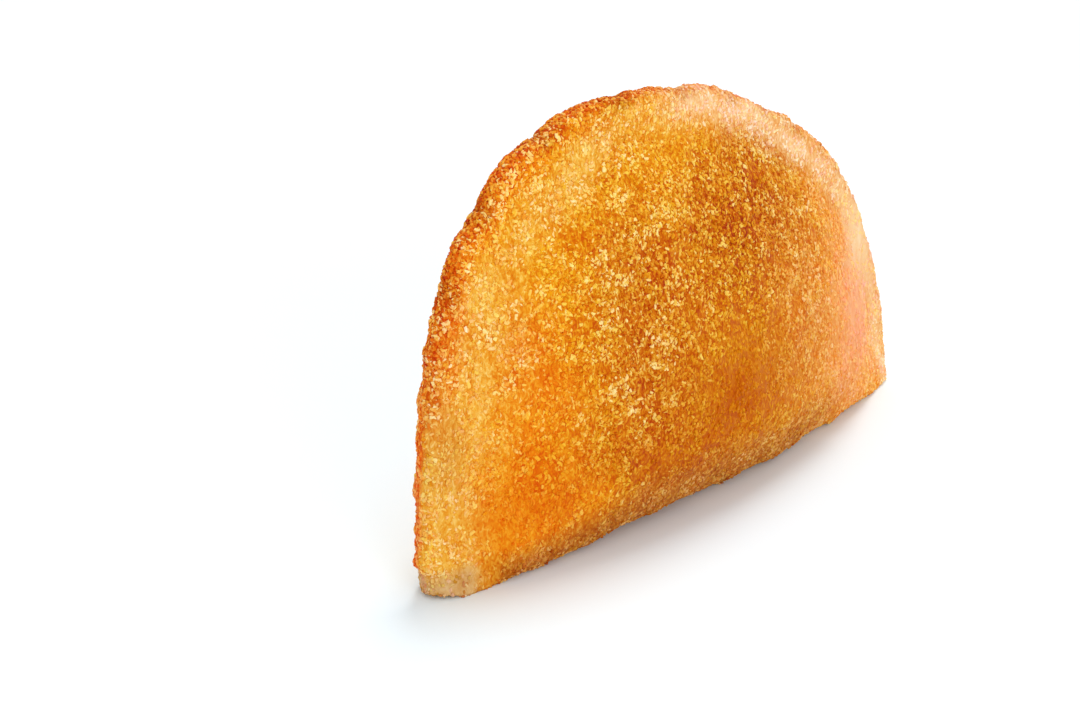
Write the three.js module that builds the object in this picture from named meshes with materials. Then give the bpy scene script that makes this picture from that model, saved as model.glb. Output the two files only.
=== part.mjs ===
// A fried rissole: a disc of dough folded over its filling into a half-moon, pressed shut round the
// arc, rolled in breadcrumbs and fried. It stands on its fold. Millimetres: X runs along the fold,
// Y through the thickness with the shown side at -Y, and Z up from the surface that it stands on.
import * as THREE from 'three';
import { mergeVertices } from 'three/addons/utils/BufferGeometryUtils.js';

// Driving dimensions
const LENGTH = 100; // from corner to corner of the fold
const HEIGHT = 53.7; // from the fold to the top of the arc
const THICKNESS = 25; // through the filling
const RIM_THICKNESS = 2.2; // of the two pressed layers at the edge of the seam
const SEAM_WIDTH = 5.5; // of the pressed seam, in from the edge
const FOOT_WIDTH = 7.8; // of the flat strip that it stands on
const FOOT_SWELL = [4, 10, 15]; // [how much wider it is at its widest, where in X, half length]
const END_THICKNESS = 8; // of the folded dough at each corner

// Outline: how square the shoulders of the arc are, 2 being an ellipse
const LEFT_SHOULDER = 2.66;
const RIGHT_SHOULDER = 1.93;
const APEX_SHIFT = -2.2; // the top of the arc lies a little left of the middle
const ARC_WAVES = [[2, -1.2], [3, 0.35], [4, 1.1]]; // unevenness of the arc: [half waves, height]

// Corners: the fold stays behind the seam's end, whose lip stands out at the left corner
const CORNER_PULL = 0.4; // how far the fold stays behind
const CORNER_HEIGHT = 3.6; // of that stretch
const CORNER_STEP = 1.2; // height over which the outline steps out above it
const CORNER_LIFT = 0.7; // how far the ends of the fold rise off the surface
const LIFT_LENGTH = 6; // over which each end does so
const LIP = [4.8, 1.1, 0.6]; // [height above the surface, half height, how far it stands out]

// Cross-section
const DOME_POWER = 0.7; // below 1 the filling rises steeply from the seam and is flat on top
const SEAM_BLEND = 2.2; // width of the soft hollow where the seam meets the filling
const FOLD_HEIGHT = 16; // over which the side rounds under to the foot where it is thickest
const FOOT_SHARE = 0.76; // the foot is at most this share of the thickness above it
const END_HEIGHT = 8; // up from the fold, over which the folded dough at a corner thins to the seam
const END_ROUND = 4; // in from the edge, over which it does so, with a round end seen from above
const RIM_ROUND = 0.9; // how far the rounded edge stands out between the two sides

// Crimps pressed into the seam, and how far the seam wanders from the middle plane
const CRIMPS = 17;
const CRIMP_NOTCH = 0.65; // depth of the notches in the outline
const CRIMP_GROOVE = 0.35; // depth of the grooves across the seam
const CRIMP_WANDER = [3, 1.4, 3.8]; // uneven spacing: [half waves, height, phase]
const CRIMPS_END = [2.3, 2.75]; // angles between which they fade out towards the left corner
const SEAM_WANDER = [[3, 0.7, 0.7], [7, 0.3, 4.7]]; // [half waves, height, phase]

// Relief: [grain size, height] of the lumps in the filling and of the crumb coat
const FILLING_LUMPS = [19, 0.8];
const COAT_LUMPS = [[5.5, 0.25], [2.7, 0.24]];
const SMOOTH_END = [28, 44]; // between these places in X the coat thins out
const THIN_COAT = 0.35; // share of the coat's relief that is left past them
const LEAST_RISE = 0.15; // what isn't the foot stays at least this far above the surface

// Grid: rings of faces from the middle of the fold out to the rim, and steps across the rim
const RINGS = 33;
const RIM_STEPS = 3;

const { abs, cos, exp, floor, max, min, PI, sin, sqrt } = Math;
const { smoothstep } = THREE.MathUtils;

// A repeatable number from -1 to 1 for each cell of a lattice.
function cellValue(i, j, k) {
  let h = Math.imul(i, 374761393) ^ Math.imul(j, 668265263) ^ Math.imul(k, 1274126177);
  h = Math.imul(h ^ (h >>> 13), 1103515245);
  return (((h ^ (h >>> 16)) >>> 0) / 4294967295) * 2 - 1;
}

// Smooth noise from -1 to 1 whose grains are about `size` across.
function noise(point, size) {
  const at = point.toArray().map((c) => c / size);
  const cell = at.map(floor);
  const [a, b, c] = at.map((t, n) => {
    const f = t - cell[n];
    return f * f * (3 - 2 * f);
  });
  let sum = 0;
  for (let corner = 0; corner < 8; corner++) {
    const step = [corner & 1, (corner >> 1) & 1, corner >> 2];
    const weight = (step[0] ? a : 1 - a) * (step[1] ? b : 1 - b) * (step[2] ? c : 1 - c);
    sum += weight * cellValue(cell[0] + step[0], cell[1] + step[1], cell[2] + step[2]);
  }
  return sum;
}

// Turns a place on the half square (u from -1 to 1, v from 0 to 1) into a share of the way from
// the middle of the fold to the rim, and an angle from the right corner round to the left one.
function ringPlace(u, v) {
  const share = max(abs(u), v);
  if (share === 0) return { share, angle: 0 };
  let along = 2 * share - u;
  if (u === share) along = v;
  if (u === -share) along = 4 * share - v;
  return { share, angle: (PI * along) / (4 * share) };
}

// The sum of waves along the arc, each [half waves, height, phase].
function waveSum(waves, angle) {
  return waves.reduce((sum, [count, size, at = 0]) => sum + size * sin(count * angle + at), 0);
}

// How deep the place is in a notch between two crimps, from 0 on a crimp's crest to almost 1. The
// crimps are deepest at the upper left, and fade out towards both corners.
function crimpDepth(angle) {
  const turn = CRIMPS * angle + waveSum([CRIMP_WANDER], angle);
  const pressed = sin(angle / 2) ** 2 * (1 - smoothstep(angle, ...CRIMPS_END));
  return pressed * (1 - sqrt(abs(sin(turn))));
}

// How far the outline stands out (or stays behind, where it is negative) near a corner.
function cornerStep(angle, z) {
  const [lipHeight, halfHeight, standsOut] = LIP;
  const lip = angle > PI / 2 ? standsOut * exp(-(((z - lipHeight) / halfHeight) ** 2)) : 0;
  return lip - CORNER_PULL * smoothstep(CORNER_HEIGHT - z, 0, CORNER_STEP);
}

// The point of the middle plane at that share and angle, moved out by `outset` at the rim.
function planePoint(share, angle, outset) {
  const halfLength = LENGTH / 2 - RIM_ROUND;
  const height = HEIGHT - RIM_ROUND;
  const power = cos(angle) > 0 ? RIGHT_SHOULDER : LEFT_SHOULDER;
  const reach = (abs(cos(angle)) ** power + abs(sin(angle)) ** power) ** (-1 / power);
  const notch = CRIMP_NOTCH * crimpDepth(angle) * share ** 12;
  const grown = share * (1 + (waveSum(ARC_WAVES, angle) + outset - notch) / halfLength);
  const z = height * reach * sin(angle) * grown;
  const across = reach * cos(angle) * grown * (halfLength + cornerStep(angle, z));
  return { x: across + (APEX_SHIFT * z) / height, z };
}

// How far a point of the middle plane is lifted, where the ends of the fold rise.
function endLift({ x, z }) {
  const atEnd = max((abs(x) - LENGTH / 2) / LIFT_LENGTH + 1, 0);
  return CORNER_LIFT * min(atEnd, 1) ** 2 * max(1 - z / END_HEIGHT, 0);
}

// Half the width of the foot at that place along the fold.
function halfFoot(x) {
  const [wider, middle, halfLength] = FOOT_SWELL;
  return (FOOT_WIDTH + wider * exp(-(((x - middle) / halfLength) ** 2))) / 2;
}

// Half the thickness there: the pressed seam, the dome of the filling, and the fold's rounding.
function halfThickness(share, angle, { x, z }) {
  const fromRim = (1 - share) * (LENGTH / 2);
  const past = fromRim - SEAM_WIDTH;
  const blended = (past + sqrt(past ** 2 + SEAM_BLEND ** 2)) / 2;
  const rise = min(blended / (LENGTH / 2 - SEAM_WIDTH), 1);
  const roundEnd = sqrt(1 - (1 - min(fromRim / END_ROUND, 1)) ** 2);
  const end = ((END_THICKNESS - RIM_THICKNESS) / 2) * max(1 - z / END_HEIGHT, 0) ** 2;
  const rim = RIM_THICKNESS / 2 + end * roundEnd;
  const full = rim + (THICKNESS / 2 - rim) * sin((PI / 2) * rise ** DOME_POWER);
  const foot = min(halfFoot(x), FOOT_SHARE * full);
  const foldHeight = (FOLD_HEIGHT * full) / (THICKNESS / 2);
  const below = 1 - min(z / foldHeight, 1);
  const groove = CRIMP_GROOVE * crimpDepth(angle) * sqrt(max(1 - fromRim / SEAM_WIDTH, 0));
  return foot + (full - foot) * sqrt(1 - below ** 2) - groove;
}

// Moves a point of the box (u across, v up, w from back to front) to its place on the rissole.
function bodyPoint(u, v, w) {
  const { share, angle } = ringPlace(u, v);
  const outset = share === 1 ? RIM_ROUND * sqrt(1 - w * w) : 0;
  const middle = planePoint(share, angle, outset);
  // The seam wanders out of the middle plane, most at the rim.
  const wander = share ** 5 * waveSum(SEAM_WANDER, angle);
  const y = wander - w * halfThickness(share, angle, middle);
  return new THREE.Vector3(middle.x, y, middle.z + endLift(middle));
}

// The height of the lumps at a point: broad ones over the filling, small ones in the crumb coat.
function relief(point) {
  const [broad, broadHeight] = FILLING_LUMPS;
  const fine = COAT_LUMPS.reduce((sum, [size, height]) => sum + height * noise(point, size), 0);
  const coat = 1 - (1 - THIN_COAT) * smoothstep(point.x, ...SMOOTH_END);
  const filled = min(abs(point.y) / (THICKNESS / 2), 1);
  return fine * coat + broadHeight * filled * noise(point, broad);
}

// Pushes every point out of the surface by its relief, and keeps the foot flat.
function roughen(geometry) {
  geometry.computeVertexNormals();
  const { position, normal } = geometry.attributes;
  const point = new THREE.Vector3();
  const out = new THREE.Vector3();
  for (let i = 0; i < position.count; i++) {
    point.fromBufferAttribute(position, i);
    out.fromBufferAttribute(normal, i);
    const onFoot = point.z < LEAST_RISE;
    point.addScaledVector(out, relief(point));
    position.setXYZ(i, point.x, point.y, onFoot ? 0 : max(point.z, LEAST_RISE));
  }
  geometry.deleteAttribute('normal');
}

// The whole body: a box whose front and back become the two sides, its underside the foot, and
// its other faces the rim.
function rissoleGeometry() {
  const box = new THREE.BoxGeometry(2, 1, 2, 2 * RINGS, RINGS, RIM_STEPS);
  box.deleteAttribute('normal');
  box.deleteAttribute('uv');
  const geometry = mergeVertices(box);
  const { position } = geometry.attributes;
  const onGrid = (value) => Math.round(value * RINGS) / RINGS;
  for (let i = 0; i < position.count; i++) {
    const u = onGrid(position.getX(i));
    const v = onGrid(position.getY(i) + 0.5);
    const placed = bodyPoint(u, v, position.getZ(i));
    position.setXYZ(i, placed.x, placed.y, placed.z);
  }
  roughen(geometry);
  // The frame's origin is under the middle of the body.
  geometry.computeBoundingBox();
  const middle = geometry.boundingBox.getCenter(new THREE.Vector3());
  return geometry.translate(-middle.x, -middle.y, 0);
}

const crust = new THREE.MeshStandardMaterial({ color: 0xdd9038, roughness: 0.75, metalness: 0 });

const body = new THREE.Mesh(rissoleGeometry(), crust);
body.name = 'rissole';

const rissole = new THREE.Group();
rissole.add(body);

export default rissole;
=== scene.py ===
"""A fried rissole: the crust and the breadcrumbs stuck to it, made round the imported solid.

Shapes are worked out in millimetres and stored in metres. X runs along the fold, Y through the
thickness with the shown side at -Y, and Z up from the surface that the rissole stands on.
"""

from dataclasses import dataclass

import bpy
import numpy as np
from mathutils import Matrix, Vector


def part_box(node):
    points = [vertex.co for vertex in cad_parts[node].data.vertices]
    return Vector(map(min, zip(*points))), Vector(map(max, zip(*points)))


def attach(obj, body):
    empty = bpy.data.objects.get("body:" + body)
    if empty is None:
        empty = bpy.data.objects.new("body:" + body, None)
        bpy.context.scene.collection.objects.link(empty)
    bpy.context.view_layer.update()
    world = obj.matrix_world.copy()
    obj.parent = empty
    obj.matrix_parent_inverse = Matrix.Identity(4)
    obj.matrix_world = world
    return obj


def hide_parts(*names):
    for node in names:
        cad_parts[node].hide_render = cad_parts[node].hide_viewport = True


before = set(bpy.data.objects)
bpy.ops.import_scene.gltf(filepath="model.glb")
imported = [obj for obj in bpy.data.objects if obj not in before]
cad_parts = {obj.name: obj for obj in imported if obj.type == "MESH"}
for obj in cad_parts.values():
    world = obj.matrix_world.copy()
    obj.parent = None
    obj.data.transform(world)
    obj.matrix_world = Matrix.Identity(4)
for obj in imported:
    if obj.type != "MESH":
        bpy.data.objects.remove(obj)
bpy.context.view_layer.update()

MM = 0.001
TINY = 1e-12  # keeps a division away from zero
SEED = 20

# ---------------------------------------------------------------- the rissole's form, as the solid
# These shape numbers are the solid's own. The result is fitted to the solid's box at the end.
LENGTH, HEIGHT, THICKNESS = 100.0, 53.7, 25.0
RIM_THICKNESS = 2.2
SEAM_WIDTH = 5.5
FOOT_WIDTH = 7.8
FOOT_WIDER, FOOT_MIDDLE, FOOT_REACH = 4.0, 10.0, 15.0
END_THICKNESS = 8.0
LEFT_SHOULDER, RIGHT_SHOULDER = 2.66, 1.93  # how square the arc is, 2 being an ellipse
APEX_SHIFT = -2.2
ARC_WAVES = ((2, -1.2, 0), (3, 0.35, 0), (4, 1.1, 0))  # each (half waves, height, phase)
CORNER_PULL, CORNER_HEIGHT, CORNER_STEP = 0.4, 3.6, 1.2
CORNER_LIFT, LIFT_LENGTH = 0.7, 6.0
LIP_HEIGHT, LIP_HALF, LIP_DEPTH = 4.8, 1.1, 0.6
DOME_POWER = 0.7
SEAM_BLEND = 2.2
FOLD_HEIGHT = 16.0
FOOT_SHARE = 0.76
END_HEIGHT = 8.0
END_ROUND = 4.0
RIM_ROUND = 0.9
CRIMPS = 17
CRIMP_NOTCH, CRIMP_GROOVE = 0.65, 0.35
CRIMP_WANDER = ((3, 1.4, 3.8),)
CRIMPS_END = (2.3, 2.75)  # in radians from the right corner
SEAM_WANDER = ((3, 0.7, 0.7), (7, 0.3, 4.7))
FILLING_LUMPS = (19.0, 0.8)  # (grain size, height)
COAT_LUMPS = ((5.5, 0.25), (2.7, 0.24))
SMOOTH_END, THIN_COAT = (28, 44), 0.35
LEAST_RISE = 0.15

# Finer relief of the crumb coat, which only this piece has: (grain size, height)
FINE_COAT = ((1.5, 0.16), (0.85, 0.12))

# Grid: rings of faces from the middle of the fold out to the rim, and steps across the rim
RINGS = 130
RIM_STEPS = 8


def ease(value, low, high):
    """0 at low and 1 at high, smoothly between them. Low may be the larger."""
    share = np.clip((value - low) / (high - low), 0, 1)
    return share * share * (3 - 2 * share)


def unit(vectors):
    """The vectors made 1 long."""
    return vectors / np.maximum(np.linalg.norm(vectors, axis=1, keepdims=True), TINY)


def cell_value(i, j, k):
    """A repeatable number from -1 to 1 for each cell of a lattice."""
    i, j, k = (np.asarray(n, np.int64).astype(np.uint32) for n in (i, j, k))
    h = i * np.uint32(374761393) ^ j * np.uint32(668265263) ^ k * np.uint32(1274126177)
    h = (h ^ (h >> np.uint32(13))) * np.uint32(1103515245)
    return (h ^ (h >> np.uint32(16))) / 4294967295 * 2 - 1


def noise(points, size, shift=0.0):
    """Smooth noise from -1 to 1 at each point, whose grains are about size across.

    Another shift of the points gives another noise of the same kind.
    """
    at = (points + shift) / size
    cell = np.floor(at).astype(np.int64)
    part = at - cell
    part = part * part * (3 - 2 * part)
    total = np.zeros(len(points))
    for corner in range(8):
        step = np.array([corner & 1, corner >> 1 & 1, corner >> 2])
        weight = np.where(step, part, 1 - part).prod(axis=1)
        total += weight * cell_value(*(cell + step).T)
    return total


def ring_place(u, v):
    """A place on the half square as its share of the way out to the rim, and its angle."""
    share = np.maximum(np.abs(u), v)
    along = np.where(u == share, v, np.where(u == -share, 4 * share - v, 2 * share - u))
    return share, np.pi * along / (4 * np.maximum(share, TINY))


def wave_sum(waves, angle):
    """The sum of waves along the arc, each (half waves, height, phase)."""
    return sum(size * np.sin(count * angle + at) for count, size, at in waves)


def crimp_depth(angle):
    """How deep each angle is in a notch between two crimps, which fade out to both corners."""
    turn = CRIMPS * angle + wave_sum(CRIMP_WANDER, angle)
    pressed = np.sin(angle / 2) ** 2 * (1 - ease(angle, *CRIMPS_END))
    return pressed * (1 - np.sqrt(np.abs(np.sin(turn))))


def corner_step(angle, z):
    """How far the outline stands out, or where it is negative stays behind, near a corner."""
    lip = LIP_DEPTH * np.exp(-(((z - LIP_HEIGHT) / LIP_HALF) ** 2))
    return np.where(angle > np.pi / 2, lip, 0) - CORNER_PULL * ease(CORNER_HEIGHT - z, 0, CORNER_STEP)


def plane_point(share, angle, outset):
    """The points of the middle plane, moved out by outset at the rim."""
    half_length, height = LENGTH / 2 - RIM_ROUND, HEIGHT - RIM_ROUND
    power = np.where(np.cos(angle) > 0, RIGHT_SHOULDER, LEFT_SHOULDER)
    reach = (np.abs(np.cos(angle)) ** power + np.abs(np.sin(angle)) ** power) ** (-1 / power)
    notch = CRIMP_NOTCH * crimp_depth(angle) * share**12
    grown = share * (1 + (wave_sum(ARC_WAVES, angle) + outset - notch) / half_length)
    z = height * reach * np.maximum(np.sin(angle), 0) * grown
    across = reach * np.cos(angle) * grown * (half_length + corner_step(angle, z))
    return across + APEX_SHIFT * z / height, z


def end_lift(x, z):
    """How far the points of the middle plane are lifted, where the ends of the fold rise."""
    at_end = np.clip((np.abs(x) - LENGTH / 2) / LIFT_LENGTH + 1, 0, 1)
    return CORNER_LIFT * at_end**2 * np.clip(1 - z / END_HEIGHT, 0, None)


def half_foot(x):
    """Half the width of the foot at each place along the fold."""
    return (FOOT_WIDTH + FOOT_WIDER * np.exp(-(((x - FOOT_MIDDLE) / FOOT_REACH) ** 2))) / 2


def half_thickness(share, angle, x, z):
    """The pressed seam, the dome of the filling, and the fold's rounding."""
    from_rim = (1 - share) * LENGTH / 2
    past = from_rim - SEAM_WIDTH
    blended = (past + np.hypot(past, SEAM_BLEND)) / 2
    rise = np.minimum(blended / (LENGTH / 2 - SEAM_WIDTH), 1)
    round_end = np.sqrt(1 - (1 - np.minimum(from_rim / END_ROUND, 1)) ** 2)
    end = (END_THICKNESS - RIM_THICKNESS) / 2 * np.clip(1 - z / END_HEIGHT, 0, None) ** 2
    rim = RIM_THICKNESS / 2 + end * round_end
    full = rim + (THICKNESS / 2 - rim) * np.sin(np.pi / 2 * rise**DOME_POWER)
    foot = np.minimum(half_foot(x), FOOT_SHARE * full)
    fold_height = FOLD_HEIGHT * full / (THICKNESS / 2)
    below = 1 - np.minimum(z / fold_height, 1)
    groove = CRIMP_GROOVE * crimp_depth(angle) * np.sqrt(np.clip(1 - from_rim / SEAM_WIDTH, 0, None))
    return foot + (full - foot) * np.sqrt(1 - below**2) - groove


def body_points(share, angle, w):
    """The points of the body at a ring place, with w from -1 at the back to 1 at the front."""
    outset = np.where(share == 1, RIM_ROUND * np.sqrt(1 - w * w), 0)
    x, z = plane_point(share, angle, outset)
    y = share**5 * wave_sum(SEAM_WANDER, angle) - w * half_thickness(share, angle, x, z)
    return np.stack([x, y, z + end_lift(x, z)], axis=1)


def relief(points):
    """The height of the lumps: broad ones over the filling, smaller ones in the crumb coat."""
    size, height = FILLING_LUMPS
    filled = np.minimum(np.abs(points[:, 1]) / (THICKNESS / 2), 1)
    broad = height * filled * noise(points, size)
    coated = 1 - (1 - THIN_COAT) * ease(points[:, 0], *SMOOTH_END)
    return broad + coated * sum(high * noise(points, wide) for wide, high in COAT_LUMPS + FINE_COAT)


def box_surface():
    """The grid of a box's surface: u, v and w of each point, and the quads between them."""
    counts = (2 * RINGS, RINGS, RIM_STEPS)
    place = np.indices([n + 1 for n in counts])
    outer = np.zeros(place.shape[1:], bool)
    for axis, count in enumerate(counts):
        outer |= (place[axis] == 0) | (place[axis] == count)
    index = np.full(outer.shape, -1)
    index[outer] = np.arange(outer.sum())
    quads = []
    for axis, count in enumerate(counts):
        for side in (0, count):
            face = np.take(index, side, axis=axis)
            ring = [face[:-1, :-1], face[1:, :-1], face[1:, 1:], face[:-1, 1:]]
            if (side == 0) == (axis != 1):
                ring.reverse()
            quads.append(np.stack(ring, axis=-1).reshape(-1, 4))
    u, v, w = (place[axis][outer] for axis in range(3))
    return u / RINGS - 1, v / RINGS, w / RIM_STEPS * 2 - 1, np.concatenate(quads)


def point_normals(points, quads):
    """The average direction of the faces round each point."""
    a, b, c, d = (points[quads[:, corner]] for corner in range(4))
    facing = np.cross(c - a, d - b)
    total = np.zeros_like(points)
    for corner in range(4):
        for axis in range(3):
            total[:, axis] += np.bincount(quads[:, corner], facing[:, axis], len(points))
    return unit(total)


def fit_to_box(points, low, high):
    """Maps the points' own box onto the given one."""
    own_low, own_high = points.min(axis=0), points.max(axis=0)
    return low + (points - own_low) * (high - low) / (own_high - own_low)


@dataclass
class Places:
    """Places on the crust, a row of each array for each place."""

    points: np.ndarray  # in millimetres
    out: np.ndarray  # direction out of the crust
    from_rim: np.ndarray  # how far in from the seam's edge
    across: np.ndarray  # 1 on the shown side, -1 on the other, and between them on the edge
    angle: np.ndarray  # round the arc, from the right corner
    colour: np.ndarray  # mean colour of the coat
    contrast: np.ndarray  # how strongly its grains stand out

    def between(self, corners, share):
        """A place between each row of corners, by their shares."""
        columns = vars(self).items()
        return Places(**{name: np.einsum("ij,ij...->i...", share, each[corners]) for name, each in columns})


class Crust:
    """The crust's surface, with the place of each of its points."""

    def __init__(self):
        u, v, w, self.quads = box_surface()
        share, angle = ring_place(u, v)
        points = body_points(share, angle, w)
        lifted = points + point_normals(points, self.quads) * relief(points)[:, None]
        lifted[:, 2] = np.where(points[:, 2] < LEAST_RISE, 0, np.maximum(lifted[:, 2], LEAST_RISE))
        low, high = (np.array(corner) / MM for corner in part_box("rissole"))
        points = fit_to_box(lifted, low, high)
        from_rim = (1 - share) * LENGTH / 2
        coat = Coat(points, from_rim, w, angle)
        out = point_normals(points, self.quads)
        self.places = Places(points, out, from_rim, w, angle, coat.colour, coat.contrast)

    def draw(self, rng, count, density):
        """Places for grains, drawn by area times the density there."""
        triangles = np.concatenate([self.quads[:, [0, 1, 2]], self.quads[:, [0, 2, 3]]])
        a, b, c = (self.places.points[triangles[:, corner]] for corner in range(3))
        weight = np.linalg.norm(np.cross(b - a, c - a), axis=1)
        weight *= density(self.places.between(triangles, np.full(triangles.shape, 1 / 3)))
        corners = triangles[rng.choice(len(weight), count, p=weight / weight.sum())]
        return self.places.between(corners, rng.dirichlet((1, 1, 1), count))


# ---------------------------------------------------------------- colours over the body
def srgb(red, green, blue):
    """A colour given as 0 to 255 on a screen, as the linear numbers that the shaders use."""
    share = np.array([red, green, blue]) / 255
    return np.where(share <= 0.04045, share / 12.92, ((share + 0.055) / 1.055) ** 2.4)


GOLD = srgb(238, 169, 28)
PALE_GOLD = srgb(242, 190, 86)
DULL_GOLD = srgb(222, 160, 72)
ORANGE = srgb(236, 132, 12)
OCHRE = srgb(200, 105, 0)
BROWN = srgb(216, 134, 28)
TAN = srgb(222, 142, 60)
PINK_TAN = srgb(246, 169, 122)
CREAM = srgb(250, 209, 158)
# browner crust along the fold, darkened further as painted shade
BASE_BROWN_AND_SHADE = srgb(193, 119, 46)
# bare dough, darkened as painted shade near the floor
DOUGH_AND_SHADE = srgb(213, 170, 116)
TOASTED = srgb(222, 114, 12)
# painted shade for the crimps' notches
PAINTED_NOTCH_SHADE = srgb(176, 84, 6)
EMBER = srgb(236, 124, 44)

# How a grain's colour leans to pink: its channels are multiplied by these, or divided for yellow
PINKER = np.array([1.0, 0.94, 1.15])
CLUMP_LEAN, GRAIN_LEAN = 2.4, 1.6  # size of the clumps that lean alike, and each grain's own lean

# Contrast is how strongly single grains and flecks stand out from the mean colour.
USUAL_CONTRAST = 1.1

# Patches of one colour that fade into the next: side, the middle and the half sizes in x and z in
# millimetres, colour, strength, contrast
FRONT, BACK = -1, 1
PATCHES = (
    (FRONT, (-48, 20), (6, 26), PALE_GOLD, 0.9, 0.8),
    (FRONT, (-42, 30), (5, 8), PALE_GOLD, 0.7, 1.0),
    (FRONT, (-47, 22), (3, 12), DULL_GOLD, 0.7, 0.6),
    (FRONT, (-47, 8), (4, 6), PALE_GOLD, 0.8, 0.9),
    (FRONT, (-35, 23), (6, 8), ORANGE, 0.75, 0.8),
    (FRONT, (-36, 9), (8, 8), ORANGE, 0.95, 0.5),
    (FRONT, (-20, 25), (9, 18), BROWN, 0.85, 1.8),
    (FRONT, (3, 35), (19, 9), OCHRE, 0.95, 1.4),
    (FRONT, (-3, 16), (17, 11), OCHRE, 0.95, 0.45),
    (FRONT, (-16, 10), (16, 5), OCHRE, 0.7, 0.8),
    (FRONT, (14, 20), (7, 10), TAN, 0.5, 0.9),
    (FRONT, (34, 16), (14, 15), PINK_TAN, 0.95, 0.25),
    (FRONT, (41, 26), (7, 12), CREAM, 0.9, 0.15),
    (BACK, (0, 52), (40, 7), PALE_GOLD, 0.6, 0.9),
    (BACK, (-22, 20), (14, 15), ORANGE, 0.8, 0.8),
    (BACK, (8, 30), (18, 12), OCHRE, 0.9, 1.5),
    (BACK, (10, 14), (16, 8), BROWN, 0.7, 1.5),
    (BACK, (38, 18), (9, 16), PINK_TAN, 0.7, 0.6),
    (BACK, (-44, 18), (7, 18), PALE_GOLD, 0.7, 0.6),
)
PATCH_WANDER = ((9.0, 3.0), (3.5, 1.2))  # of their outlines: (grain size, how far)
SIDE_FADE = 2.0  # width over which one side's patches give way to the other's, along the edge

# Looks laid over the patches: colour, strength, contrast
STRIP_AND_SHADE_LOOK = (BASE_BROWN_AND_SHADE, 0.85, 0.8)
BESIDE_LOOK = (ORANGE, 0.7, 1.4)
CREST_LOOK = (TOASTED, 0.75, 1.6)
DOUGH_AND_SHADE_LOOK = (DOUGH_AND_SHADE, 0.85, 0.3)

# The brown strip along the fold, browner crust darkened further as painted shade where it faces the
# floor: its height at the left and the right, then the stretches in x over which it grows, begins at
# the left and ends at the right, and how it fades out up its height
STRIP_HEIGHTS = (5.0, 11.0)
STRIP_GROWS, STRIP_BEGINS, STRIP_ENDS = (-42, -15), (-44, -39), (34, 12)
STRIP_FADE = (1, 0.3)

# Stretches of the arc over which one look gives way to the next, in degrees from the right corner
DOTS_BEGIN = (20, 40)
CREAM_MOVES_IN = (75, 60)
CREAM_TO_GOLD = (88, 108)
CREST_BEGINS = (89, 103)
GOLD_MOVES_IN = (106, 122)
CORNER_BEGINS = (142, 165)

# The pale bands along the seam: how far in from the edge the middle is before and after it moves
# in, half the width, and strength
CREAM_FROM_EDGE, CREAM_HALF, CREAM_STRENGTH = (0.9, 1.8), 2.3, 0.85
GOLD_FROM_EDGE, GOLD_HALF, GOLD_STRENGTH = (2.5, 5.0), 2.2, 0.75
BAND_CONTRAST = 0.9
BAND_WANDER = 0.7
BAND_STREAKS = (7.0, 0.5)  # (grain size, how much stronger or weaker)
BESIDE_FADE = (0.6, 0)  # of the orange beside the golden band, as shares of the way to its middle

# The seam's edge
EDGE_FADE = (1.0, 0.5)  # from where the edge begins towards its middle
CREST_WANDER = 0.15
DOT_SIZE, DOT_FADE = 1.1, (-0.15, 0.15)
BETWEEN_DOTS, DOT_STRENGTH = 0.3, 0.4
NOTCH_DEPTH, NOTCH_STRENGTH = 0.9, 0.8  # how far in from the edge the crimps' notches are dark
EMBER_FADE, EMBER_STRENGTH = (0.3, -0.3), 0.9

# The bare dough, darkened as painted shade near the floor: below the first stretch, in z, and left of
# the second, in x
DOUGH_BELOW, DOUGH_LEFT_OF = (4.0, 1.5), (-41.5, -46)

UNEVEN_SIZE = 4.0  # of the waves with which the bands, the crest and the dough end unevenly


def on_arc(angle, stretch):
    """0 before and 1 after a stretch of the arc, given in degrees."""
    return ease(angle, *np.radians(stretch))


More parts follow.
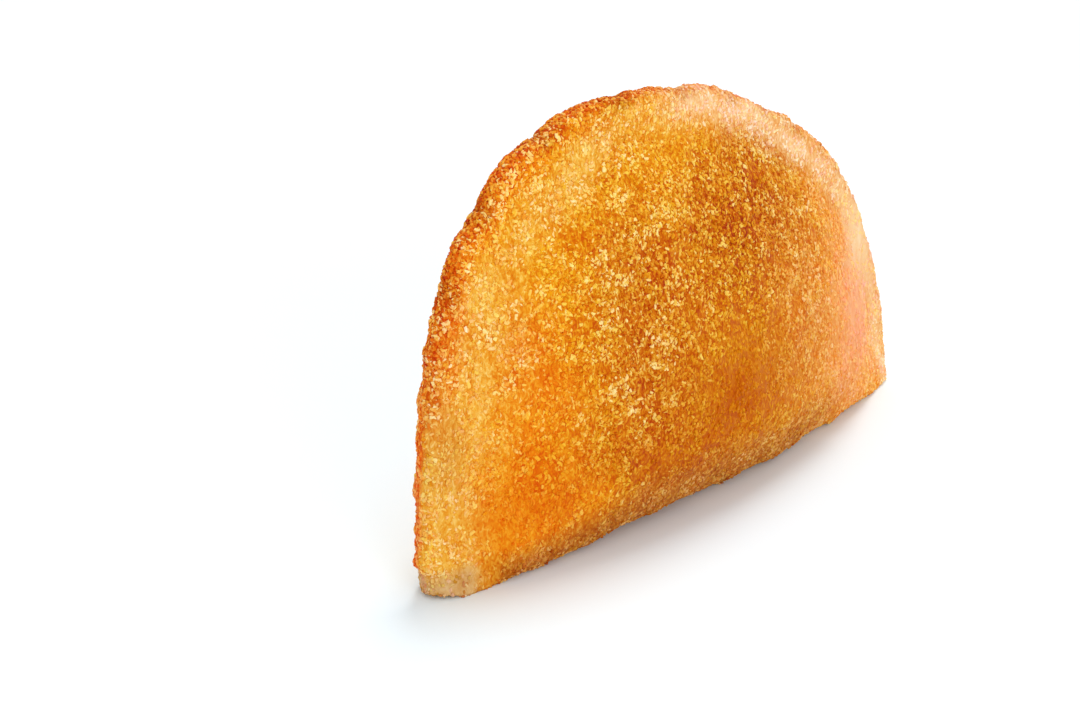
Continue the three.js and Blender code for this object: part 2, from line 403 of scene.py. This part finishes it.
class Coat:
    """The mean colour of the crumb coat at each place, and its contrast there."""

    def __init__(self, points, from_rim, across, angle):
        self.points, self.from_rim, self.across, self.angle = points, from_rim, across, angle
        self.uneven = noise(points, UNEVEN_SIZE, shift=5)
        self.corner = on_arc(angle, CORNER_BEGINS)
        self.colour = np.tile(GOLD, (len(points), 1))
        self.contrast = np.full(len(points), USUAL_CONTRAST)
        self.lay_patches()
        self.lay_strip_and_shade()
        self.lay_bands()
        self.lay_crest()
        self.lay_notches_and_dots()
        self.lay_dough_and_shade()

    def shade(self, colour, share):
        """Moves the colour towards another, by each place's share."""
        share = np.clip(share, 0, 1)[:, None]
        self.colour = self.colour * (1 - share) + colour * share

    def stand_out(self, contrast, share):
        """Moves the contrast towards another, by each place's share."""
        self.contrast += (contrast - self.contrast) * share

    def lay(self, look, share):
        """Lays a look over the coat, by each place's share."""
        colour, strength, contrast = look
        self.shade(colour, strength * share)
        self.stand_out(contrast, share)

    def lay_patches(self):
        """The patches on both sides."""
        flat = self.points[:, [0, 2]].copy()
        for size, reach in PATCH_WANDER:
            flat[:, 0] += reach * noise(self.points, size, shift=91)
            flat[:, 1] += reach * noise(self.points, size, shift=37)
        for side, middle, half, colour, strength, contrast in PATCHES:
            near = strength * np.exp(-(((flat - middle) / half) ** 2).sum(axis=1))
            near *= np.clip(0.5 + side * self.points[:, 1] / SIDE_FADE, 0, 1)
            self.lay((colour, 1, contrast), near)

    def lay_strip_and_shade(self):
        """The brown strip along the fold: browner crust, darkened further as painted shade low down."""
        x, z = self.points[:, 0], self.points[:, 2]
        left, right = STRIP_HEIGHTS
        top = left + (right - left) * ease(x, *STRIP_GROWS)
        strip = ease(z / top, *STRIP_FADE) * ease(x, *STRIP_ENDS) * ease(x, *STRIP_BEGINS)
        self.lay(STRIP_AND_SHADE_LOOK, strip)

    def band_middle(self, distances, stretch):
        """How far in from the edge a band's middle is, which moves in over a stretch of the arc."""
        before, after = distances
        return before + (after - before) * on_arc(self.angle, stretch)

    def lay_bands(self):
        """The pale bands along the seam, and the orange between the edge and the golden one."""
        golden = on_arc(self.angle, CREAM_TO_GOLD)
        cream_middle = self.band_middle(CREAM_FROM_EDGE, CREAM_MOVES_IN)
        gold_middle = self.band_middle(GOLD_FROM_EDGE, GOLD_MOVES_IN)
        streak_size, streak_depth = BAND_STREAKS
        streaked = 1 + streak_depth * noise(self.points, streak_size, shift=29)
        from_edge = self.from_rim + BAND_WANDER * self.uneven
        for middle, half, colour, strength in (
            (cream_middle, CREAM_HALF, CREAM, CREAM_STRENGTH * (1 - golden)),
            (gold_middle, GOLD_HALF, PALE_GOLD, GOLD_STRENGTH * golden * (1 - self.corner)),
        ):
            near = strength * streaked * np.exp(-(((from_edge - middle) / half) ** 2))
            self.shade(colour, near)
            self.stand_out(BAND_CONTRAST, np.clip(near, 0, 1) * (self.contrast > BAND_CONTRAST))
        beside = on_arc(self.angle, GOLD_MOVES_IN) * (1 - self.corner)
        beside *= ease((self.from_rim + self.uneven) / gold_middle, *BESIDE_FADE)
        self.lay(BESIDE_LOOK, beside)

    def lay_crest(self):
        """The edge is toasted at the left."""
        off_middle = np.abs(self.across) + CREST_WANDER * self.uneven
        crest = on_arc(self.angle, CREST_BEGINS) * (1 - self.corner)
        self.lay(CREST_LOOK, crest * ease(off_middle, *EDGE_FADE))

    def lay_notches_and_dots(self):
        """Brown dots along the right of the edge, painted shade in its notches, its red end at the corner.
        """
        dots = ease(noise(self.points, DOT_SIZE, shift=3), *DOT_FADE)
        dotted = (1 - on_arc(self.angle, CREST_BEGINS)) * on_arc(self.angle, DOTS_BEGIN)
        dotted *= ease(np.abs(self.across), *EDGE_FADE)
        self.shade(TOASTED, dotted * (self.from_rim == 0) * (BETWEEN_DOTS + DOT_STRENGTH * dots))
        # painted shade: the crimps' notches are darkened where shade falls
        notched = crimp_depth(self.angle) * ease(self.from_rim, NOTCH_DEPTH, 0)
        self.shade(PAINTED_NOTCH_SHADE, NOTCH_STRENGTH * notched * (1 - self.corner))
        reddened = self.corner * (np.abs(self.across) < 1) * ease(self.across, *EMBER_FADE)
        self.shade(EMBER, EMBER_STRENGTH * reddened)

    def lay_dough_and_shade(self):
        """The fold's left end is bare dough underneath, darkened as painted shade near the floor."""
        low = ease(self.points[:, 2] + self.uneven, *DOUGH_BELOW)
        self.lay(DOUGH_AND_SHADE_LOOK, low * ease(self.points[:, 0] + self.uneven, *DOUGH_LEFT_OF))


def fried(colour, exponent):
    """A colour fried longer (above 1) or less (below 1): darker and deeper, or paler."""
    return colour ** exponent[:, None]


# ---------------------------------------------------------------- meshes
def mesh_object(name, points, faces, tint, smooth):
    """An object of points in millimetres and faces of one kind, with a tint for each point."""
    mesh = bpy.data.meshes.new(name)
    corners = faces.shape[1]
    mesh.vertices.add(len(points))
    mesh.vertices.foreach_set("co", (points * MM).astype(np.float32).ravel())
    mesh.loops.add(faces.size)
    mesh.loops.foreach_set("vertex_index", faces.astype(np.int32).ravel())
    mesh.polygons.add(len(faces))
    mesh.polygons.foreach_set("loop_start", np.arange(0, faces.size, corners, dtype=np.int32))
    mesh.polygons.foreach_set("use_smooth", np.full(len(faces), smooth))
    layer = mesh.attributes.new("tint", "FLOAT_COLOR", "POINT")
    layer.data.foreach_set("color", tint.astype(np.float32).ravel())
    mesh.update(calc_edges=True)
    mesh.validate()
    made = bpy.data.objects.new(name, mesh)
    bpy.context.scene.collection.objects.link(made)
    return made


def outward_triangles(points, side):
    """The triangles between points that are one side apart, all facing away from the middle."""
    gaps = np.linalg.norm(points[:, None] - points[None], axis=2)
    joined = np.isclose(gaps, side)
    count = len(points)
    found = [
        (i, j, k)
        for i in range(count)
        for j in range(i + 1, count)
        for k in range(j + 1, count)
        if joined[i, j] and joined[j, k] and joined[i, k]
    ]
    outward = []
    for i, j, k in found:
        a, b, c = points[[i, j, k]]
        outward.append((i, j, k) if np.dot(np.cross(b - a, c - a), a) > 0 else (i, k, j))
    return np.array(outward)


def icosahedron():
    """The points and triangles of a ball with 20 faces and a radius of 1."""
    golden = (1 + 5**0.5) / 2
    corners = [(0, a, b) for a in (-1, 1) for b in (-golden, golden)]
    points = np.array([np.roll(corner, turn) for corner in corners for turn in range(3)])
    return points / np.linalg.norm(points[0]), outward_triangles(points, 2)


def octahedron():
    """The points and triangles of a ball with 8 faces and a radius of 1."""
    points = np.concatenate([np.eye(3), -np.eye(3)])
    return points, outward_triangles(points, 2**0.5)


# Every grain is drawn within these
GRAIN_HEIGHT = (0.6, 1.0)  # as shares of its width
GRAIN_UNEVENNESS = 0.3  # of how far its corners stand from its middle
GRAIN_BEND = 1.2  # the ends lie a quarter of this, times its length, beside its middle
GRAIN_RISE = (-0.05, 0.35)  # of its middle above the crust, as shares of half its height
UPRIGHT = 4.0  # how much more it lies up and down where the coat is smooth


def grain_field(name, crust, ball, count, widths, lengths, density, shade, rng):
    """One piece of many grains stuck in the crust.

    Widths are the least and the most in millimetres, and lengths are the same as shares of width.
    """
    ball_points, ball_faces = ball
    places = crust.draw(rng, count, density)
    out = unit(places.out)
    heading = rng.normal(size=(count, 3))
    heading[:, 2] += UPRIGHT * np.clip(USUAL_CONTRAST - places.contrast, 0, 1)
    across = unit(np.cross(out, heading))
    along = np.cross(across, out)
    width = rng.uniform(*widths, count)
    length = width * rng.uniform(*lengths, count)
    height = width * rng.uniform(*GRAIN_HEIGHT, count)
    uneven = 1 + rng.uniform(-GRAIN_UNEVENNESS, GRAIN_UNEVENNESS, (count, len(ball_points), 1))
    shape = ball_points * uneven * np.stack([length, width, height], axis=1)[:, None] / 2
    bend = rng.uniform(-GRAIN_BEND, GRAIN_BEND, (count, 1)) / length[:, None]
    shape[:, :, 1] += bend * shape[:, :, 0] ** 2
    rise = height * rng.uniform(*GRAIN_RISE, count) / 2
    axes = np.stack([along, -across, out], axis=1)
    points = (places.points + out * rise[:, None])[:, None] + shape @ axes
    points[:, :, 2] = np.maximum(points[:, :, 2], 0)
    faces = ball_faces[None] + np.arange(count)[:, None, None] * len(ball_points)
    tint = np.column_stack([shade(places, rng), places.contrast])
    tint = np.repeat(tint, len(ball_points), axis=0)
    return mesh_object(name, points.reshape(-1, 3), faces.reshape(-1, 3), tint, smooth=False)


# ---------------------------------------------------------------- materials
def fried_material(name, grain, depth, unevenness):
    """A matte fried surface: the mesh's own tint, more and less fried from fleck to fleck.

    The tint's alpha says how strongly the flecks show. Grain is their size and depth the height of
    their bumps, both in millimetres.
    """
    material = bpy.data.materials.new(name)
    material.use_nodes = True
    nodes, links = material.node_tree.nodes, material.node_tree.links
    shader = nodes["Principled BSDF"]
    shader.inputs["Specular IOR Level"].default_value = 0.12
    shader.inputs["Specular Tint"].default_value = (1, 0.7, 0.3, 1)

    # The flecks are a little taller than they are wide.
    place = nodes.new("ShaderNodeMapping")
    place.inputs["Scale"].default_value = (1, 1, 0.6)
    links.new(nodes.new("ShaderNodeTexCoord").outputs["Object"], place.inputs["Vector"])
    flecks = nodes.new("ShaderNodeTexNoise")
    flecks.inputs["Scale"].default_value = 1 / (grain * MM)
    flecks.inputs["Detail"].default_value = 3
    flecks.inputs["Distortion"].default_value = 1
    links.new(place.outputs["Vector"], flecks.inputs["Vector"])

    tint = nodes.new("ShaderNodeAttribute")
    tint.attribute_name = "tint"
    spread = nodes.new("ShaderNodeMapRange")
    spread.inputs["From Min"].default_value = 0.3
    spread.inputs["From Max"].default_value = 0.7
    spread.inputs["To Min"].default_value = -unevenness
    spread.inputs["To Max"].default_value = unevenness
    links.new(flecks.outputs["Fac"], spread.inputs["Value"])

    exponent = nodes.new("ShaderNodeMath")
    exponent.operation = "MULTIPLY_ADD"
    exponent.inputs[2].default_value = 1
    links.new(spread.outputs["Result"], exponent.inputs[0])
    links.new(tint.outputs["Alpha"], exponent.inputs[1])

    fry = nodes.new("ShaderNodeGamma")
    links.new(tint.outputs["Color"], fry.inputs["Color"])
    links.new(exponent.outputs["Value"], fry.inputs["Gamma"])
    links.new(fry.outputs["Color"], shader.inputs["Base Color"])

    dull = nodes.new("ShaderNodeMapRange")
    dull.inputs["To Min"].default_value = 0.75
    dull.inputs["To Max"].default_value = 0.45
    links.new(flecks.outputs["Fac"], dull.inputs["Value"])
    links.new(dull.outputs["Result"], shader.inputs["Roughness"])

    bump = nodes.new("ShaderNodeBump")
    bump.inputs["Strength"].default_value = 0.6
    bump.inputs["Distance"].default_value = depth * MM
    links.new(flecks.outputs["Fac"], bump.inputs["Height"])
    links.new(bump.outputs["Normal"], shader.inputs["Normal"])
    return material


def dress(piece, material):
    """Gives a piece its material, and says that it rides on the body."""
    piece.data.materials.append(material)
    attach(piece, "root")


# ---------------------------------------------------------------- the pieces
# The crust between the crumbs: how much longer it is fried than the coat's mean colour, how unevenly
# from clump to clump, and how much darker it is painted, as painted shade for lying lower
CRUST_FRIED = 0.3
CRUST_CLUMPS = (3.0, 0.15)  # (size, height)
CRUST_PAINTED_SHADE = 0.95

# Towards both ends it is streaked up and down: how the places are scaled along each axis for that,
# the stretch in x where the streaks begin, and how much longer or less long they are fried
STREAK_SCALE = np.array([1.0, 1.0, 0.15])
STREAKS_BEGIN = (22, 38)
STREAK_FRIED = 0.3

# How unevenly the grains are fried from clump to clump, (size, height), and the least exponent
SHADE_CLUMPS = (1.6, 0.25)
LEAST_FRIED = 0.3

# How densely grains lie: in clumps, each (size, height, shift), round a mean and down to a least. It
# also grows with the contrast, from a share that lies where the coat is smooth up to a top contrast.
DENSE_CLUMPS = ((3.6, 0.4, 17), (1.8, 0.7, 71))
MEAN_DENSITY, LEAST_DENSITY = 0.65, 0.06
SMOOTH_DENSITY, TOP_CONTRAST = 0.1, 1.2

# Toasted crumbs along the seam's edge: how much denser they get over each stretch of the arc, in
# radians from the right corner. Across the edge they set in at the first place and are densest
# from the second on, nearer its middle at the right than at the left.
EDGE_LEFTWARD = (1.4, 1.8)
EDGE_CRUMBS = (((0.3, 0.7), 0.4), (EDGE_LEFTWARD, 0.6), ((2.5, 2.8), -0.7))
EDGE_REACH, MORE_REACH_LEFTWARD = (0.6, 0.2), (0.4, 0.5)

# Toasted crumbs round the foot: the heights between which they set in, and how densely
FOOT_CRUMBS, FOOT_DENSITY = (3.5, 0.5), 0.3
TOASTED_EXPONENTS = (0.55, 1.9)  # between which each toasted crumb is fried

# Flecks of the materials: grain and bump depth in millimetres, and unevenness
CRUST_FLECKS = (0.45, 0.25, 0.5)
GRAIN_FLECKS = (0.3, 0.08, 0.2)


def hued(places, rng):
    """The coat's colour at each place, made pinker or yellower from clump to clump and at random."""
    drawn = rng.uniform(-GRAIN_LEAN, GRAIN_LEAN, len(places.points))
    lean = noise(places.points, CLUMP_LEAN, shift=61) + drawn
    return places.colour * PINKER ** lean[:, None]


def add_crust(crust):
    """The crust between the crumbs."""
    places = crust.places
    size, height = CRUST_CLUMPS
    clumps = height * noise(places.points, size, shift=83)
    streaks = noise(places.points * STREAK_SCALE, 1.0, shift=47)
    streaks *= ease(np.abs(places.points[:, 0]), *STREAKS_BEGIN)
    exponent = 1 + (CRUST_FRIED + clumps) * places.contrast + STREAK_FRIED * streaks
    # painted shade: the crust is darkened for lying lower between the crumbs
    tint = np.column_stack([CRUST_PAINTED_SHADE * fried(places.colour, exponent), places.contrast])
    piece = mesh_object("crust", places.points, crust.quads, tint, smooth=True)
    dress(piece, fried_material("fried_crust", *CRUST_FLECKS))
    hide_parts("rissole")


def shade_rule(least, most):
    """A rule that fries each grain by an exponent drawn between the two."""

    def shade(places, rng):
        size, height = SHADE_CLUMPS
        clumps = height * noise(places.points, size, shift=43)
        drawn = rng.uniform(least, most, len(places.points)) + clumps
        exponent = np.maximum(1 + (drawn - 1) * places.contrast, LEAST_FRIED)
        return fried(hued(places, rng), exponent)

    return shade


def toasted_shade(places, rng):
    """The toasted grains' colours, drawn from pale to dark."""
    return fried(hued(places, rng), rng.uniform(*TOASTED_EXPONENTS, len(places.points)))


def patchy(places):
    """How densely grains lie: in clumps, and thinly where the coat is smooth."""
    waves = (high * noise(places.points, size, shift) for size, high, shift in DENSE_CLUMPS)
    clumps = np.maximum(sum(waves, MEAN_DENSITY), LEAST_DENSITY)
    return clumps * (SMOOTH_DENSITY + np.minimum(places.contrast, TOP_CONTRAST))


def at_the_edges(places):
    """How densely toasted grains lie: along the seam's edge and round the foot."""
    round_arc = sum(denser * ease(places.angle, *stretch) for stretch, denser in EDGE_CRUMBS)
    leftward = ease(places.angle, *EDGE_LEFTWARD)
    outer, inner = (reach + more * leftward for reach, more in zip(EDGE_REACH, MORE_REACH_LEFTWARD))
    on_rim = ease(np.abs(places.across), outer, inner) * round_arc
    return on_rim + FOOT_DENSITY * ease(places.points[:, 2], *FOOT_CRUMBS)


def add_crumbs(crust):
    """The breadcrumbs and the finer specks between them, a piece for each kind."""
    rng = np.random.default_rng(SEED)
    ball, bit = icosahedron(), octahedron()
    kinds = (
        ("crumbs_pale", ball, 9500, (0.28, 0.5), (1.2, 2.3), patchy, shade_rule(0.5, 0.85)),
        ("crumbs_golden", ball, 9500, (0.28, 0.52), (1.1, 2.0), patchy, shade_rule(0.8, 1.3)),
        ("specks_pale", bit, 23000, (0.2, 0.38), (1.3, 2.8), patchy, shade_rule(0.5, 0.9)),
        ("specks_golden", bit, 22000, (0.2, 0.4), (1.1, 2.4), patchy, shade_rule(0.85, 1.5)),
        ("crumbs_toasted", ball, 4500, (0.25, 0.5), (1.0, 1.9), at_the_edges, toasted_shade),
    )
    for name, shape, count, widths, lengths, density, shade in kinds:
        field = grain_field(name, crust, shape, count, widths, lengths, density, shade, rng)
        dress(field, fried_material(f"fried_{name}", *GRAIN_FLECKS))


# ---------------------------------------------------------------- camera, light and floor
# The camera's place and what it looks at, and its focal length in pixels of the photograph
CAMERA_PLACE = (-197.9, -146.8, 107.1)
CAMERA_AIM = (-13.0, 13.4, 16.4)
FOCAL_PIXELS, IMAGE_WIDTH = 1982.0, 1080

OVERHEAD_PLACE = (370, 110, 800)
PANEL_PLACE, PANEL_SIZE = (-320, -720, 260), 400
FLOOR_HALF = 3000
FLOOR_COLOUR = (0.845, 0.93, 0.975, 1)  # a little blue takes back the warm light off the crust


def turned_to(made, place, aim):
    """Puts an object at a place in millimetres, looking at another."""
    made.location = Vector(place) * MM
    ahead = Vector(aim) - Vector(place)
    made.rotation_euler = ahead.to_track_quat("-Z", "Y").to_euler()
    bpy.context.scene.collection.objects.link(made)


def add_camera():
    """The camera, at the photograph's viewing angle."""
    data = bpy.data.cameras.new("camera")
    data.lens = FOCAL_PIXELS / IMAGE_WIDTH * data.sensor_width
    data.clip_start = 0.01
    camera = bpy.data.objects.new("camera", data)
    turned_to(camera, CAMERA_PLACE, CAMERA_AIM)
    bpy.context.scene.camera = camera


def add_light():
    """White surroundings, a soft light from above and a little behind, and a low panel in front."""
    world = bpy.data.worlds.new("studio")
    bpy.context.scene.world = world
    world.use_nodes = True
    sky = world.node_tree.nodes["Background"]
    sky.inputs["Color"].default_value = (1, 1, 1, 1)
    sky.inputs["Strength"].default_value = 0.8

    overhead = bpy.data.lights.new("overhead", "SUN")
    overhead.angle = np.radians(26)
    overhead.energy = 1.3
    turned_to(bpy.data.objects.new("overhead", overhead), OVERHEAD_PLACE, (0, 0, 0))

    panel = bpy.data.lights.new("front_panel", "AREA")
    panel.size = PANEL_SIZE * MM
    panel.energy = 1.7
    turned_to(bpy.data.objects.new("front_panel", panel), PANEL_PLACE, (0, 0, HEIGHT / 2))
    bpy.context.scene.view_settings.view_transform = "Standard"


def add_floor():
    """A plain white floor."""
    half = FLOOR_HALF * MM
    corners = [(-half, -half, 0), (half, -half, 0), (half, half, 0), (-half, half, 0)]
    mesh = bpy.data.meshes.new("floor")
    mesh.from_pydata(corners, [], [(0, 1, 2, 3)])
    floor = bpy.data.objects.new("floor", mesh)
    bpy.context.scene.collection.objects.link(floor)
    paint = bpy.data.materials.new("floor_white")
    paint.use_nodes = True
    shader = paint.node_tree.nodes["Principled BSDF"]
    shader.inputs["Base Color"].default_value = FLOOR_COLOUR
    shader.inputs["Roughness"].default_value = 0.9
    shader.inputs["Specular IOR Level"].default_value = 0.1
    mesh.materials.append(paint)


add_camera()
add_light()
add_floor()
shown_crust = Crust()
add_crust(shown_crust)
add_crumbs(shown_crust)
